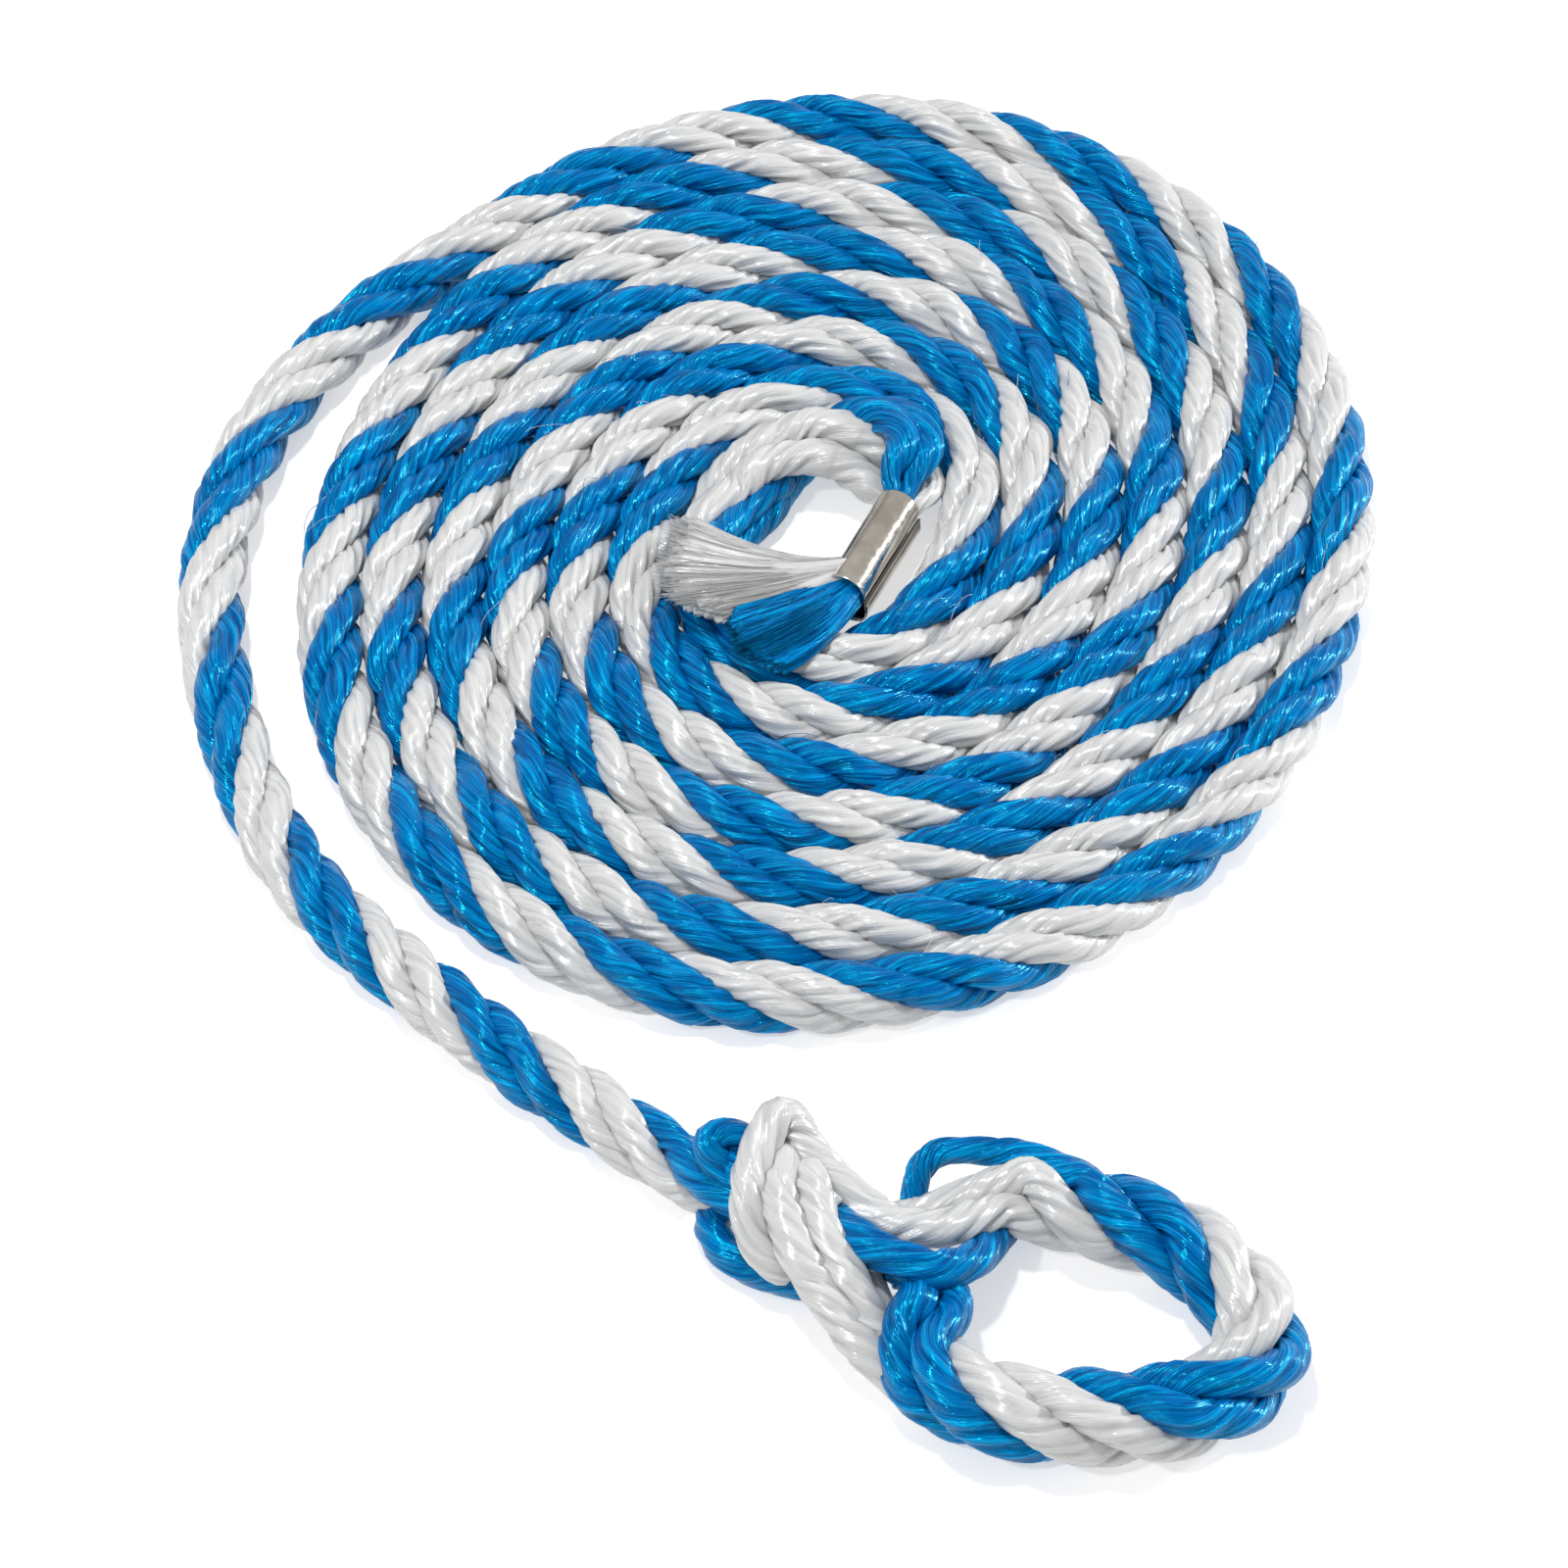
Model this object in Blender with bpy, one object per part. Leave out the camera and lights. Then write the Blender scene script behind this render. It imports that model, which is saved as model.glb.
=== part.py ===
"""A coiled dock line: four-strand laid rope in a flat coil, with a spliced eye and a metal ferrule.

Units are metres, +Z is up, and the line lies on the plane z = 0. The rope's centre line is one
curve: from the ferrule it runs out through the flat coil, leaves it as the tail and ends in the
eye. Each strand is a tube wound round that curve, cut to one length for each rigid body.
"""

import math

import bmesh
import bpy
import numpy as np
from mathutils import Vector

# Driving dimensions of the rope
ROPE_DIAMETER = 0.010
LAY_LENGTH = 4.35 * ROPE_DIAMETER
STRAND_ORBIT = 0.32 * ROPE_DIAMETER
STRAND_RADIUS = 0.147 * ROPE_DIAMETER
LAY_STEPS = 5
STRANDS = ("blue_a", "blue_b", "white_a", "white_b")
CENTRE_HEIGHT = 0.40 * ROPE_DIAMETER
GAP = 0.0003

# The share of a turn at which a strand passes under the rope, and the turn of its square section
LOWEST = 0.75
SECTION_TILT = math.radians(45)

# How finely the centre line is drawn, how far apart its direction is read, and what is welded
CURVE_STEP = 0.001
DIRECTION_REACH = 0.0015
WELD_DISTANCE = 0.000001

# The flat coil: an oval spiral that closes in clockwise, seen from above. Its outer turns are
# less even: their oval and their lean to one side fade out towards the middle.
COIL_CENTRE = Vector((0.00658, 0.03159, CENTRE_HEIGHT))
COIL_RADIUS = 0.0903
TURN_PITCH = 1.027 * ROPE_DIAMETER
OVAL = 0.0066
OVAL_FADE = 0.00048
OVAL_ANGLE = math.radians(109)
LEAN = 0.00094
LEAN_TURNS = 5
LEAN_ANGLE = math.radians(121)
TAIL_ANGLE = math.radians(52)
END_ANGLE = math.radians(68 + 7 * 360)
COIL_STEP = math.radians(6)

# Where the strands stand round the rope, in turns. A flat coil takes about one turn of lay out
# of the rope at each of its own turns, a little unevenly, and the tail's lay wavers. The strands
# gain some lay again where they draw together into the ferrule.
LAY_AT_TOP = 0.105
LAY_LOST = (-0.048, 0.444, -0.133, 0.0)
LAY_SWING = (0.072, -0.123)
LAST_EVEN_TURN = 6.35
LAY_GAINED = 0.562
LAY_GAINED_LENGTH = 0.100
TAIL_WAVER = ((0.070, 0.0), (0.205, -0.19), (0.285, 0.10))

# The tail, from the coil to the splice, relative to the coil's centre
TAIL_POINTS = (
    (-0.0715, 0.0545),
    (-0.0835, 0.0390),
    (-0.0925, 0.0215),
    (-0.0966, 0.0015),
    (-0.0962, -0.0190),
    (-0.0905, -0.0425),
    (-0.0775, -0.0690),
    (-0.0525, -0.0940),
    (-0.0345, -0.1085),
    (-0.0195, -0.1195),
)

# The splice and the eye, relative to the coil's centre, with heights
SPLICE_HEIGHT = 0.0086
SPLICE_POINTS = ((-0.0120, -0.1245, SPLICE_HEIGHT), (0.0010, -0.1295, SPLICE_HEIGHT))
EYE_CENTRE = (0.0375, -0.1430)
EYE_HALF_LENGTH = 0.0245
EYE_HALF_WIDTH = 0.0165
EYE_TILT = math.radians(-12)
EYE_START = math.radians(148)
EYE_SWEEP = math.radians(304)
EYE_STEPS = 13
EYE_HEIGHT = 0.0046
EYE_RETURN = ((0.0102, -0.1430), (0.0068, -0.1412))

# Each strand's end is tucked round the rope at the splice, against the lay
TUCK_ORBIT = 0.67 * ROPE_DIAMETER
TUCK_TURNS = 0.55
TUCK_START = math.radians(250)
TUCK_STEPS = 5
THROAT = (0.0005, -0.1290)
TUCK_END = (-0.0130, -0.1235)

# Towards the ferrule the strands draw together
SQUEEZE = 0.62
SQUEEZE_LENGTH = 0.065

# Bends along the tail, relative to the coil's centre, and the distance kept clear on each side of
# a bend, so that neighbouring lengths can turn
BENDS = {
    "tail_swing": (-0.0745, 0.0510),
    "tail_lift": (-0.0963, -0.0180),
    "neck_swing": (-0.0650, -0.0820),
    "eye_lift": (-0.0225, -0.1175),
}
BEND_CLEARANCE = 0.0035
FERRULE_CLEARANCE = 0.0025

# The ferrule on the inner end: a sheet rolled into a sleeve with a lapped edge
FERRULE_LENGTH = 0.022
FERRULE_WALL = 0.0005
FERRULE_BORE_RADIUS = 0.0035
FERRULE_LAP = math.radians(65)
FERRULE_LIFT_START = math.radians(270)
FERRULE_LIFT_SWEEP = math.radians(90)
FERRULE_STEPS = 32
FERRULE_TOP = Vector((0.0127, 0.0047, 0.0042))
FERRULE_FOOT = Vector((0.0034, -0.0156, 0.0058))
FERRULE_OVERHANG = 0.0015
FERRULE_LEAD_IN = 0.0020
FERRULE_BEND = 0.0040
SLEEVE_END = (FERRULE_FOOT - FERRULE_TOP).length + FERRULE_OVERHANG
KINK_POINTS = (
    (0.0141, 0.0097, 0.0050),
    (0.0128, 0.0145, 0.0046),
    (0.0086, 0.0176, 0.0034),
    (0.0030, 0.0190, 0.0016),
    (-0.0030, 0.0186, 0.0006),
)

# The frayed ends: how far they reach past the sleeve's upper end, where each one widens on its way
# to the tip, and each tip's place relative to the coil's centre with the radius there
FRAYED_START = SLEEVE_END + 0.0012
FRAYED_SHARES = (0.35, 1.0)
FRAYED_RISE = 0.0006
FRAYED_TIPS = {
    "white_b": (Vector((-0.0215, -0.0080, 0.0094)), 0.0029),
    "white_a": (Vector((-0.0215, -0.0170, 0.0084)), 0.0027),
    "blue_b": (Vector((-0.0125, -0.0222, 0.0080)), 0.0022),
    "blue_a": (Vector((-0.0070, -0.0270, 0.0080)), 0.0022),
}

# The block that cuts the rope's underside flat
TABLE_SIZE = 0.4
TABLE_DEPTH = 0.02

AXIS_MARK_SIZE = 0.01

COLOURS = {
    "blue": ((0.005, 0.165, 0.58), 0.42, 0.0),
    "white": ((0.76, 0.77, 0.79), 0.45, 0.0),
    "ferrule": ((0.62, 0.60, 0.56), 0.18, 1.0),
}


def material(name):
    """The Principled material of one colour, made once."""
    if name in bpy.data.materials:
        return bpy.data.materials[name]
    colour, roughness, metallic = COLOURS[name]
    made = bpy.data.materials.new(name)
    made.use_nodes = True
    shader = made.node_tree.nodes["Principled BSDF"]
    shader.inputs["Base Color"].default_value = (*colour, 1.0)
    shader.inputs["Roughness"].default_value = roughness
    shader.inputs["Metallic"].default_value = metallic
    return made


def collection(name):
    made = bpy.data.collections.new(name)
    bpy.context.scene.collection.children.link(made)
    return made


def coil_point(angle):
    """A point of the spiral; the angle grows clockwise from -X and counts whole turns."""
    turns = (angle - math.pi / 2) / math.tau
    oval = (OVAL - OVAL_FADE * turns) * math.cos(2 * (angle - OVAL_ANGLE))
    lean = LEAN * (1 - turns / LEAN_TURNS) * math.cos(angle - LEAN_ANGLE)
    radius = COIL_RADIUS - TURN_PITCH * turns + oval + lean
    return (-radius * math.cos(angle), radius * math.sin(angle), 0.0)


def smooth_curve(points):
    """Points every CURVE_STEP or so along a Catmull-Rom curve through the given points."""
    points = np.array(points)
    padded = np.vstack([2 * points[0] - points[1], points, 2 * points[-1] - points[-2]])
    pieces = []
    for before, start, end, after in zip(padded, padded[1:], padded[2:], padded[3:]):
        count = max(2, int(np.linalg.norm(end - start) / CURVE_STEP))
        u = np.arange(count)[:, None] / count
        square = 2 * before - 5 * start + 4 * end - after
        cube = 3 * start - before - 3 * end + after
        pieces.append(0.5 * (2 * start + (end - before) * u + square * u**2 + cube * u**3))
    return np.vstack(pieces + [points[-1:]])


def eye_points():
    """Control points round the eye, from the throat and back to it."""
    made = []
    for angle in EYE_START - EYE_SWEEP * np.linspace(0, 1, EYE_STEPS):
        across = EYE_HALF_LENGTH * math.cos(angle)
        up = EYE_HALF_WIDTH * math.sin(angle)
        x = EYE_CENTRE[0] + across * math.cos(EYE_TILT) - up * math.sin(EYE_TILT)
        y = EYE_CENTRE[1] + across * math.sin(EYE_TILT) + up * math.cos(EYE_TILT)
        made.append((x, y, EYE_HEIGHT - CENTRE_HEIGHT))
    return made + [(x, y, EYE_HEIGHT - CENTRE_HEIGHT) for x, y in EYE_RETURN]


class CentreLine:
    """The rope's centre line, measured by its length from the inner end."""

    def __init__(self):
        down = (FERRULE_FOOT - FERRULE_TOP).normalized()
        sleeve = [FERRULE_FOOT + FERRULE_OVERHANG * down, FERRULE_TOP, FERRULE_TOP - FERRULE_LEAD_IN * down]
        kink = [tuple(point) for point in sleeve] + list(KINK_POINTS)
        coil = [coil_point(angle) for angle in np.arange(END_ANGLE, TAIL_ANGLE, -COIL_STEP)]
        tail = [(x, y, 0.0) for x, y in TAIL_POINTS]
        splice = [(x, y, z - CENTRE_HEIGHT) for x, y, z in SPLICE_POINTS]
        self.points = smooth_curve(kink + coil + tail + splice + eye_points()) + np.array(COIL_CENTRE)
        steps = np.linalg.norm(np.diff(self.points, axis=0), axis=1)
        self.lengths = np.concatenate([[0.0], np.cumsum(steps)])
        self.total = self.lengths[-1]
        self.lay = self.lay_along()

    def lay_along(self):
        """How many turns the strands have made round the rope at each point of the centre line."""
        flat = self.points - np.array(COIL_CENTRE)
        angles = np.unwrap(np.arctan2(flat[::-1, 1], -flat[::-1, 0]))[::-1]
        top = self.nearest(COIL_CENTRE.x, COIL_CENTRE.y + coil_point(math.pi / 2)[1])
        turns = (angles - np.interp(top, self.lengths, angles)) / math.tau
        turns = np.clip(turns, 0.0, LAST_EVEN_TURN)
        cosine, sine = LAY_SWING
        lost = np.polyval(LAY_LOST, turns)
        lost += cosine * (np.cos(math.tau * turns) - 1) + sine * np.sin(math.tau * turns)
        gained = LAY_GAINED * np.clip(1 - self.lengths / LAY_GAINED_LENGTH, 0.0, 1.0)
        past, waver = np.transpose(TAIL_WAVER)
        beyond = self.lengths - top
        return beyond / LAY_LENGTH + LAY_AT_TOP - lost + gained + np.interp(beyond, past, waver)

    def at(self, length):
        """The point, and the directions along, across and up, at a length from the inner end."""
        def point(where):
            return Vector([np.interp(where, self.lengths, self.points[:, axis]) for axis in range(3)])

        along = (point(length + DIRECTION_REACH) - point(length - DIRECTION_REACH)).normalized()
        across = Vector((0, 0, 1)).cross(along).normalized()
        return point(length), along, across, along.cross(across)

    def nearest(self, x, y):
        """The length at which the centre line passes closest to a place on the plane."""
        gaps = np.hypot(self.points[:, 0] - x, self.points[:, 1] - y)
        return self.lengths[int(np.argmin(gaps))]


def squeeze(length):
    """How far the strands are drawn together at a length from the inner end."""
    return SQUEEZE + (1 - SQUEEZE) * float(np.clip(length / SQUEEZE_LENGTH, 0, 1))


def strand_points(line, start, end, phase):
    """Points of one strand between two lengths, LAY_STEPS in a lay and one at each end."""
    shortest = LAY_LENGTH / LAY_STEPS / 3
    first, last = np.interp((start, end), line.lengths, line.lay) + phase
    even = np.arange(math.ceil((first - LOWEST) * LAY_STEPS), (last - LOWEST) * LAY_STEPS) / LAY_STEPS
    lengths = np.interp(even + LOWEST - phase, line.lay, line.lengths)
    lengths = [start] + [s for s in lengths if start + shortest < s < end - shortest] + [end]
    points = []
    radii = []
    for length in lengths:
        angle = math.tau * (np.interp(length, line.lengths, line.lay) + phase)
        point, _, across, up = line.at(length)
        orbit = STRAND_ORBIT * squeeze(length)
        points.append(point + orbit * (math.cos(angle) * across + math.sin(angle) * up))
        radii.append(STRAND_RADIUS * squeeze(length))
    return points, radii


def tube(name, points, radii, colour, parts, table=None, twist="Z_UP"):
    """A four-sided tube through the points, welded into one closed mesh and cut flat by the table."""
    curve = bpy.data.curves.new(name, "CURVE")
    curve.dimensions = "3D"
    curve.twist_mode = twist
    curve.bevel_depth = 1.0
    curve.bevel_resolution = 0
    curve.use_fill_caps = True
    spline = curve.splines.new("POLY")
    spline.points.add(len(points) - 1)
    for control, point, radius in zip(spline.points, points, radii):
        control.co = (*point, 1.0)
        control.radius = radius
        control.tilt = SECTION_TILT
    swept = bpy.data.objects.new(name + "_curve", curve)
    parts.objects.link(swept)
    bpy.context.view_layer.update()
    seen = swept.evaluated_get(bpy.context.evaluated_depsgraph_get())
    mesh = bpy.data.meshes.new_from_object(seen)
    bpy.data.objects.remove(swept)
    cage = bmesh.new()
    cage.from_mesh(mesh)
    bmesh.ops.remove_doubles(cage, verts=cage.verts, dist=WELD_DISTANCE)
    bmesh.ops.recalc_face_normals(cage, faces=cage.faces)
    cage.to_mesh(mesh)
    cage.free()
    made = bpy.data.objects.new(name, mesh)
    mesh.materials.clear()
    mesh.materials.append(material(colour))
    parts.objects.link(made)
    if table is not None:
        cut = made.modifiers.new("flat_underside", "BOOLEAN")
        cut.operation = "DIFFERENCE"
        cut.solver = "EXACT"
        cut.object = table
    return made


def ferrule(parts):
    """The sleeve: the section of a rolled sheet, extruded and laid along the inner end."""
    def section(side):
        rolled = math.tau + FERRULE_LAP
        for angle in np.linspace(0, rolled, FERRULE_STEPS):
            lifted = np.clip((angle - FERRULE_LIFT_START) / FERRULE_LIFT_SWEEP, 0, 1)
            radius = FERRULE_BORE_RADIUS + side * FERRULE_WALL + lifted * (FERRULE_WALL + GAP)
            yield (radius * math.cos(angle), radius * math.sin(angle))

    outline = list(section(1)) + list(section(0))[::-1]
    curve = bpy.data.curves.new("ferrule", "CURVE")
    curve.dimensions = "2D"
    curve.fill_mode = "BOTH"
    curve.extrude = FERRULE_LENGTH / 2
    spline = curve.splines.new("POLY")
    spline.points.add(len(outline) - 1)
    for control, (x, y) in zip(spline.points, outline):
        control.co = (x, y, 0.0, 1.0)
    spline.use_cyclic_u = True
    made = bpy.data.objects.new("ferrule", curve)
    curve.materials.append(material("ferrule"))
    made.location = COIL_CENTRE + (FERRULE_TOP + FERRULE_FOOT) / 2
    made.rotation_mode = "QUATERNION"
    made.rotation_quaternion = (FERRULE_FOOT - FERRULE_TOP).to_track_quat("Z", "X")
    parts.objects.link(made)
    return made


def frayed_end(line, strand, phase, parts):
    """One strand's end: through the sleeve, then flaring out over the innermost turn."""
    tip, tip_radius = FRAYED_TIPS[strand]
    points, radii = strand_points(line, 0.0, FRAYED_START, phase)
    root = points[0]
    tip = COIL_CENTRE + tip
    fan = [root.lerp(tip, share) for share in FRAYED_SHARES]
    fan[0].z += FRAYED_RISE
    fan_radii = [radii[0] + share * (tip_radius - radii[0]) for share in FRAYED_SHARES]
    points = fan[::-1] + points
    radii = fan_radii[::-1] + radii
    return tube(f"frayed_{strand}", points, radii, strand.split("_")[0], parts)


def tuck(line, strand, number, parts, table):
    """The end of one strand at the splice, wrapped round the standing rope against the lay."""
    colour = strand.split("_")[0]
    first = line.nearest(COIL_CENTRE.x + THROAT[0], COIL_CENTRE.y + THROAT[1])
    last = line.nearest(COIL_CENTRE.x + TUCK_END[0], COIL_CENTRE.y + TUCK_END[1])
    points = []
    for u in np.linspace(0, 1, TUCK_STEPS):
        length = first + (last - first) * float(u)
        angle = TUCK_START + math.tau * (number / 4 + TUCK_TURNS * float(u))
        point, _, across, up = line.at(length)
        points.append(point + TUCK_ORBIT * (math.cos(angle) * across + math.sin(angle) * up))
    return tube(f"tuck_{strand}", points, [STRAND_RADIUS] * len(points), colour, parts, table, "MINIMUM")


def bend_axis(name, place, parts):
    """An empty that marks the axis on which a length of the line turns."""
    axis = bpy.data.objects.new(name, None)
    axis.empty_display_size = AXIS_MARK_SIZE
    axis.location = place
    parts.objects.link(axis)
    return axis


def hang_on(piece, axis):
    """Parents a piece to its bend, keeping its place."""
    piece.parent = axis
    piece.matrix_parent_inverse = axis.matrix_basis.inverted()


def rope_length(line, body, start, end, axis, parts, table):
    """The four strands of one rigid length of rope."""
    for number, strand in enumerate(STRANDS):
        points, radii = strand_points(line, start, end, number / 4)
        colour = strand.split("_")[0]
        piece = tube(f"{body}_{strand}", points, radii, colour, parts, table)
        if axis:
            hang_on(piece, axis)


def main():
    for old in list(bpy.data.objects):
        bpy.data.objects.remove(old)
    parts = collection("dock_line")
    cutters = collection("cutters")

    bpy.ops.mesh.primitive_cube_add(size=1.0, location=(0, 0, -TABLE_DEPTH / 2))
    table = bpy.context.object
    table.name = "table"
    table.scale = (TABLE_SIZE, TABLE_SIZE, TABLE_DEPTH)
    table.hide_render = True
    table.display_type = "WIRE"
    for owner in list(table.users_collection):
        owner.objects.unlink(table)
    cutters.objects.link(table)

    line = CentreLine()
    bends = {"ferrule_lift": SLEEVE_END + FERRULE_BEND}
    for name, (x, y) in BENDS.items():
        bends[name] = line.nearest(COIL_CENTRE.x + x, COIL_CENTRE.y + y)
    axes = {name: bend_axis(name, line.at(length)[0], parts) for name, length in bends.items()}
    lengths = (
        ("coil", bends["ferrule_lift"], bends["tail_swing"], None),
        ("tail_upper", bends["tail_swing"], bends["tail_lift"], "tail_swing"),
        ("tail_lower", bends["tail_lift"], bends["neck_swing"], "tail_lift"),
        ("neck", bends["neck_swing"], bends["eye_lift"], "neck_swing"),
        ("eye", bends["eye_lift"], line.total, "eye_lift"),
    )
    for body, start, end, axis in lengths:
        first = start + (BEND_CLEARANCE if axis else FERRULE_CLEARANCE)
        last = end - (BEND_CLEARANCE if end < line.total else 0.0)
        rope_length(line, body, first, last, axes.get(axis), parts, table)
    hang_on(ferrule(parts), axes["ferrule_lift"])
    for number, strand in enumerate(STRANDS):
        hang_on(frayed_end(line, strand, number / 4, parts), axes["ferrule_lift"])
        hang_on(tuck(line, strand, number, parts, table), axes["eye_lift"])


main()
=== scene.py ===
"""The looks of the coiled dock line: laid strands of twisted yarns, a spliced eye, a rolled ferrule
and frayed ends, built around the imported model. Lengths in the tables below are in millimetres, but
for the camera's and the lamps', which are in metres."""

import math

import bmesh
import bpy
import numpy as np
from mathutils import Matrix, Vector


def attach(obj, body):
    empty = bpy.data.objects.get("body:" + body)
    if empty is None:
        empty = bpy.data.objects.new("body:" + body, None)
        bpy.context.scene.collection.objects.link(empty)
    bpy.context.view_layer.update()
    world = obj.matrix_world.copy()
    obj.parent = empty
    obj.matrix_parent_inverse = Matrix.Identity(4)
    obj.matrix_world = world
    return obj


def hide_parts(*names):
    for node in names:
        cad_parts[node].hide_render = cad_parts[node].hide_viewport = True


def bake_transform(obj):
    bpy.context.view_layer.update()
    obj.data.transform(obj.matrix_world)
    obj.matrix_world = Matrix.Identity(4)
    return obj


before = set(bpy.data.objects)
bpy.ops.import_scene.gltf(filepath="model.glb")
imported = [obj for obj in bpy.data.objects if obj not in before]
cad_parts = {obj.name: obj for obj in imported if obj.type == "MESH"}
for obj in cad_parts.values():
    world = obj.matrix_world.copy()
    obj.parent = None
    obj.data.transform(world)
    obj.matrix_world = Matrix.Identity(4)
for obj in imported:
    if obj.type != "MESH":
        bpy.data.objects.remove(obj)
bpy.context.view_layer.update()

MM = 0.001
STRANDS = ("blue_a", "blue_b", "white_a", "white_b")

# ---------------------------------------------------------------- the line the rope follows
# The same curve as the frame's: millimetres, seen from above, relative to the coil's centre.
CENTRE = np.array((6.58, 31.59, 0.0))
ROPE_HEIGHT = 4.4
COIL_RADIUS = 90.3
TURN_PITCH = 10.27
OVAL, OVAL_FADE, OVAL_ANGLE = 6.6, 0.48, math.radians(109)
LEAN, LEAN_TURNS, LEAN_ANGLE = 0.94, 5, math.radians(121)
TAIL_ANGLE = math.radians(52)
END_ANGLE = math.radians(68 + 7 * 360)
COIL_STEP = math.radians(6)
TAIL_POINTS = (
    (-71.5, 54.5),
    (-83.5, 39.0),
    (-92.5, 21.5),
    (-96.6, 1.5),
    (-96.2, -19.0),
    (-90.5, -42.5),
    (-77.5, -69.0),
    (-52.5, -94.0),
    (-34.5, -108.5),
    (-19.5, -119.5),
)
SPLICE_POINTS = ((-12.0, -124.5, 8.6), (1.0, -129.5, 8.6))
FERRULE_TOP = np.array((12.7, 4.7, 8.2))
FERRULE_FOOT = np.array((3.4, -15.6, 9.8))
FERRULE_OVERHANG = 1.5
FERRULE_LEAD = 2.0
SLEEVE_LENGTH = float(np.linalg.norm(FERRULE_FOOT - FERRULE_TOP)) + FERRULE_OVERHANG
KINK_POINTS = (
    (14.1, 9.7, 9.0),
    (12.8, 14.5, 8.6),
    (8.6, 17.6, 7.4),
    (3.0, 19.0, 5.6),
    (-3.0, 18.6, 4.8),
)

# Where the strands stand round the rope, in turns
LAY_LENGTH = 43.5
LAY_AT_TOP = 0.105
LAY_LOST = (-0.048, 0.444, -0.133, 0.0)
LAY_SWING = (0.072, -0.123)
LAST_EVEN_TURN = 6.35
LAY_GAINED = 0.562
LAY_GAINED_LENGTH = 100.0
TAIL_WAVER = ((70, 0.0), (205, -0.19), (285, 0.10))

# The bends along the tail, relative to the coil's centre
BENDS = {
    "tail_swing": (-74.5, 51.0),
    "tail_lift": (-96.3, -18.0),
    "neck_swing": (-65.0, -82.0),
    "eye_lift": (-22.5, -117.5),
}
FERRULE_BEND = 4.0

# ---------------------------------------------------------------- the camera
CAMERA_ELEVATION = math.radians(52)
CAMERA_DISTANCE = 0.6214
CAMERA_AIM = Vector((0.0004, -0.0187, 0.005))
CAMERA_LENS = 93.6

# ---------------------------------------------------------------- the strands
STRAND_ORBIT = 3.0
STRAND_RADIUS = 2.45
YARNS = 6
YARN_SIDES = 5
YARN_PITCH = 27.0
YARN_GROOVE = 0.14
RING_STEP = 1.15
# A piece runs on inside the next one by two rings of these shares of its radius
LAP_RINGS = 2
LAP_RADIUS = np.array((1.0, 0.985, 0.85))
# The strands are squeezed to this share inside the sleeve, and stand slack through the kink
SQUEEZE = 0.60
SQUEEZE_FROM, SQUEEZE_TO = 25.0, 34.0
SLACK = 0.27
SLACK_FROM, SLACK_TO = (26.0, 36.0), (60.0, 85.0)
# The hidden start of the inner end, and where the coil is split so that no piece is too long
INNER_START = 5.0
INNER_LENGTH = 16.0
COIL_SPLITS = (900.0, 1750.0)
TAIL_LEAD = 26.0
# Random waves along a strand: their period and size, in millimetres or turns
ANGLE_WAVE = (37.0, 0.10)
ORBIT_WAVE = (53.0, 0.12)
RADIUS_WAVE = (41.0, 0.03)
TWIST_WAVE = (29.0, 0.06)
GROOVE_WAVE = (17.0, 1.1)
YARN_WAVE = (13.0, 0.05)
# Caps on how deep a groove between the yarns grows, and on the painted shade in it
DEEPEST_GROOVE = 2.2
DARKEST_GROOVE_SHADE = 1.4
# The filaments' texture space: its radius, and its step from strand to strand
FIBRE_SPACE = 2.0
FIBRE_STEP = 13.7

# ---------------------------------------------------------------- the eye and its splice
# Centre lines through the middle of each strand; the last number of each point is its height.
EYE_HEIGHT = 6.9
EYE_LOOP = (
    (24, -125),
    (31, -126),
    (38, -128.5),
    (44, -130.5),
    (49, -133),
    (55.5, -139.5),
    (59, -146),
    (58, -153),
    (51.5, -158),
    (41.5, -160.5),
    (30.5, -160.5),
    (20.5, -158.5),
    (13.5, -153),
    (13, -146.5),
    (14, -140.5),
)
EYE_ORBIT = 3.95
EYE_RADIUS = 2.9
# The one strand that hangs slack above the eye until it joins the lay, and its share of the radius
SLACK_STRAND, SLACK_SHARE, SLACK_LENGTH = "blue_b", 0.70, 34.0
EYE_LAY = 41.9
EYE_LAY_START = 0.637
EYE_ANGLE_WAVE = (31.0, 0.12)
EYE_RADIUS_WAVE = (29.0, 0.05)
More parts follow.
